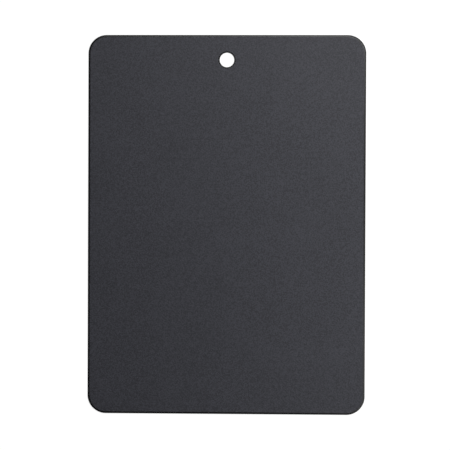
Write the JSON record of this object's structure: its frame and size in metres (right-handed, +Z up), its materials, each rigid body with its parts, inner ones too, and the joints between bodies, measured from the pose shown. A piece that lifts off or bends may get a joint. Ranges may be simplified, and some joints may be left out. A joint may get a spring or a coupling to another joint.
{
  "type": "flexible cutting board",
  "caption": "Thin flexible kitchen cutting board: a charcoal sheet with rounded corners and a hanging hole, whose long sides bend up into a trough to pour off chopped food.",
  "frame": {"origin": "under the middle of the board, on the face that it rests on", "axes": "+X across the width to the right, +Y along the length to the hanging hole, +Z up"},
  "size_m": [0.279, 0.381, 0.002],
  "materials": {
    "board_sheet": "charcoal flexible polymer with a fine matte grain"
  },
  "bodies": {
    "centre_panel": {"centre_panel": "board_sheet"},
    "left_strip_01": {"left_strip_01": "board_sheet"},
    "left_strip_02": {"left_strip_02": "board_sheet"},
    "left_strip_03": {"left_strip_03": "board_sheet"},
    "left_strip_04": {"left_strip_04": "board_sheet"},
    "left_strip_05": {"left_strip_05": "board_sheet"},
    "left_strip_06": {"left_strip_06": "board_sheet"},
    "left_strip_07": {"left_strip_07": "board_sheet"},
    "left_strip_08": {"left_strip_08": "board_sheet"},
    "left_strip_09": {"left_strip_09": "board_sheet"},
    "left_strip_10": {"left_strip_10": "board_sheet"},
    "left_strip_11": {"left_strip_11": "board_sheet"},
    "left_strip_12": {"left_strip_12": "board_sheet"},
    "right_strip_01": {"right_strip_01": "board_sheet"},
    "right_strip_02": {"right_strip_02": "board_sheet"},
    "right_strip_03": {"right_strip_03": "board_sheet"},
    "right_strip_04": {"right_strip_04": "board_sheet"},
    "right_strip_05": {"right_strip_05": "board_sheet"},
    "right_strip_06": {"right_strip_06": "board_sheet"},
    "right_strip_07": {"right_strip_07": "board_sheet"},
    "right_strip_08": {"right_strip_08": "board_sheet"},
    "right_strip_09": {"right_strip_09": "board_sheet"},
    "right_strip_10": {"right_strip_10": "board_sheet"},
    "right_strip_11": {"right_strip_11": "board_sheet"},
    "right_strip_12": {"right_strip_12": "board_sheet"}
  },
  "joints": [
    {"name": "left_bend_01", "type": "hinge", "parent": "centre_panel", "child": "left_strip_01", "pos_m": [-0.023, 0, 0.001], "axis": [0, 1, 0], "range_deg": [-7.5, 7.5], "stiffness_Nm_per_rad": 2.62},
    {"name": "left_bend_02", "type": "hinge", "parent": "left_strip_01", "child": "left_strip_02", "pos_m": [-0.03271, 0, 0.001], "axis": [0, 1, 0], "range_deg": [-7.5, 7.5], "stiffness_Nm_per_rad": 2.62},
    {"name": "left_bend_03", "type": "hinge", "parent": "left_strip_02", "child": "left_strip_03", "pos_m": [-0.04242, 0, 0.001], "axis": [0, 1, 0], "range_deg": [-7.5, 7.5], "stiffness_Nm_per_rad": 2.62},
    {"name": "left_bend_04", "type": "hinge", "parent": "left_strip_03", "child": "left_strip_04", "pos_m": [-0.05212, 0, 0.001], "axis": [0, 1, 0], "range_deg": [-7.5, 7.5], "stiffness_Nm_per_rad": 2.62},
    {"name": "left_bend_05", "type": "hinge", "parent": "left_strip_04", "child": "left_strip_05", "pos_m": [-0.06183, 0, 0.001], "axis": [0, 1, 0], "range_deg": [-7.5, 7.5], "stiffness_Nm_per_rad": 2.62},
    {"name": "left_bend_06", "type": "hinge", "parent": "left_strip_05", "child": "left_strip_06", "pos_m": [-0.07154, 0, 0.001], "axis": [0, 1, 0], "range_deg": [-7.5, 7.5], "stiffness_Nm_per_rad": 2.62},
    {"name": "left_bend_07", "type": "hinge", "parent": "left_strip_06", "child": "left_strip_07", "pos_m": [-0.08125, 0, 0.001], "axis": [0, 1, 0], "range_deg": [-7.5, 7.5], "stiffness_Nm_per_rad": 2.62},
    {"name": "left_bend_08", "type": "hinge", "parent": "left_strip_07", "child": "left_strip_08", "pos_m": [-0.09096, 0, 0.001], "axis": [0, 1, 0], "range_deg": [-7.5, 7.5], "stiffness_Nm_per_rad": 2.62},
    {"name": "left_bend_09", "type": "hinge", "parent": "left_strip_08", "child": "left_strip_09", "pos_m": [-0.10067, 0, 0.001], "axis": [0, 1, 0], "range_deg": [-7.5, 7.5], "stiffness_Nm_per_rad": 2.62},
    {"name": "left_bend_10", "type": "hinge", "parent": "left_strip_09", "child": "left_strip_10", "pos_m": [-0.11038, 0, 0.001], "axis": [0, 1, 0], "range_deg": [-7.5, 7.5], "stiffness_Nm_per_rad": 2.62},
    {"name": "left_bend_11", "type": "hinge", "parent": "left_strip_10", "child": "left_strip_11", "pos_m": [-0.12008, 0, 0.001], "axis": [0, 1, 0], "range_deg": [-7.5, 7.5], "stiffness_Nm_per_rad": 2.62},
    {"name": "left_bend_12", "type": "hinge", "parent": "left_strip_11", "child": "left_strip_12", "pos_m": [-0.12979, 0, 0.001], "axis": [0, 1, 0], "range_deg": [-7.5, 7.5], "stiffness_Nm_per_rad": 2.62},
    {"name": "right_bend_01", "type": "hinge", "parent": "centre_panel", "child": "right_strip_01", "pos_m": [0.023, 0, 0.001], "axis": [0, -1, 0], "range_deg": [-7.5, 7.5], "stiffness_Nm_per_rad": 2.62},
    {"name": "right_bend_02", "type": "hinge", "parent": "right_strip_01", "child": "right_strip_02", "pos_m": [0.03271, 0, 0.001], "axis": [0, -1, 0], "range_deg": [-7.5, 7.5], "stiffness_Nm_per_rad": 2.62},
    {"name": "right_bend_03", "type": "hinge", "parent": "right_strip_02", "child": "right_strip_03", "pos_m": [0.04242, 0, 0.001], "axis": [0, -1, 0], "range_deg": [-7.5, 7.5], "stiffness_Nm_per_rad": 2.62},
    {"name": "right_bend_04", "type": "hinge", "parent": "right_strip_03", "child": "right_strip_04", "pos_m": [0.05212, 0, 0.001], "axis": [0, -1, 0], "range_deg": [-7.5, 7.5], "stiffness_Nm_per_rad": 2.62},
    {"name": "right_bend_05", "type": "hinge", "parent": "right_strip_04", "child": "right_strip_05", "pos_m": [0.06183, 0, 0.001], "axis": [0, -1, 0], "range_deg": [-7.5, 7.5], "stiffness_Nm_per_rad": 2.62},
    {"name": "right_bend_06", "type": "hinge", "parent": "right_strip_05", "child": "right_strip_06", "pos_m": [0.07154, 0, 0.001], "axis": [0, -1, 0], "range_deg": [-7.5, 7.5], "stiffness_Nm_per_rad": 2.62},
    {"name": "right_bend_07", "type": "hinge", "parent": "right_strip_06", "child": "right_strip_07", "pos_m": [0.08125, 0, 0.001], "axis": [0, -1, 0], "range_deg": [-7.5, 7.5], "stiffness_Nm_per_rad": 2.62},
    {"name": "right_bend_08", "type": "hinge", "parent": "right_strip_07", "child": "right_strip_08", "pos_m": [0.09096, 0, 0.001], "axis": [0, -1, 0], "range_deg": [-7.5, 7.5], "stiffness_Nm_per_rad": 2.62},
    {"name": "right_bend_09", "type": "hinge", "parent": "right_strip_08", "child": "right_strip_09", "pos_m": [0.10067, 0, 0.001], "axis": [0, -1, 0], "range_deg": [-7.5, 7.5], "stiffness_Nm_per_rad": 2.62},
    {"name": "right_bend_10", "type": "hinge", "parent": "right_strip_09", "child": "right_strip_10", "pos_m": [0.11038, 0, 0.001], "axis": [0, -1, 0], "range_deg": [-7.5, 7.5], "stiffness_Nm_per_rad": 2.62},
    {"name": "right_bend_11", "type": "hinge", "parent": "right_strip_10", "child": "right_strip_11", "pos_m": [0.12008, 0, 0.001], "axis": [0, -1, 0], "range_deg": [-7.5, 7.5], "stiffness_Nm_per_rad": 2.62},
    {"name": "right_bend_12", "type": "hinge", "parent": "right_strip_11", "child": "right_strip_12", "pos_m": [0.12979, 0, 0.001], "axis": [0, -1, 0], "range_deg": [-7.5, 7.5], "stiffness_Nm_per_rad": 2.62}
  ],
  "couplings": [
    {"joint": "left_bend_02", "follows": "left_bend_01", "ratio": 1},
    {"joint": "left_bend_03", "follows": "left_bend_01", "ratio": 1},
    {"joint": "left_bend_04", "follows": "left_bend_01", "ratio": 1},
    {"joint": "left_bend_05", "follows": "left_bend_01", "ratio": 1},
    {"joint": "left_bend_06", "follows": "left_bend_01", "ratio": 1},
    {"joint": "left_bend_07", "follows": "left_bend_01", "ratio": 1},
    {"joint": "left_bend_08", "follows": "left_bend_01", "ratio": 1},
    {"joint": "left_bend_09", "follows": "left_bend_01", "ratio": 1},
    {"joint": "left_bend_10", "follows": "left_bend_01", "ratio": 1},
    {"joint": "left_bend_11", "follows": "left_bend_01", "ratio": 1},
    {"joint": "left_bend_12", "follows": "left_bend_01", "ratio": 1},
    {"joint": "right_bend_02", "follows": "right_bend_01", "ratio": 1},
    {"joint": "right_bend_03", "follows": "right_bend_01", "ratio": 1},
    {"joint": "right_bend_04", "follows": "right_bend_01", "ratio": 1},
    {"joint": "right_bend_05", "follows": "right_bend_01", "ratio": 1},
    {"joint": "right_bend_06", "follows": "right_bend_01", "ratio": 1},
    {"joint": "right_bend_07", "follows": "right_bend_01", "ratio": 1},
    {"joint": "right_bend_08", "follows": "right_bend_01", "ratio": 1},
    {"joint": "right_bend_09", "follows": "right_bend_01", "ratio": 1},
    {"joint": "right_bend_10", "follows": "right_bend_01", "ratio": 1},
    {"joint": "right_bend_11", "follows": "right_bend_01", "ratio": 1},
    {"joint": "right_bend_12", "follows": "right_bend_01", "ratio": 1}
  ]
}
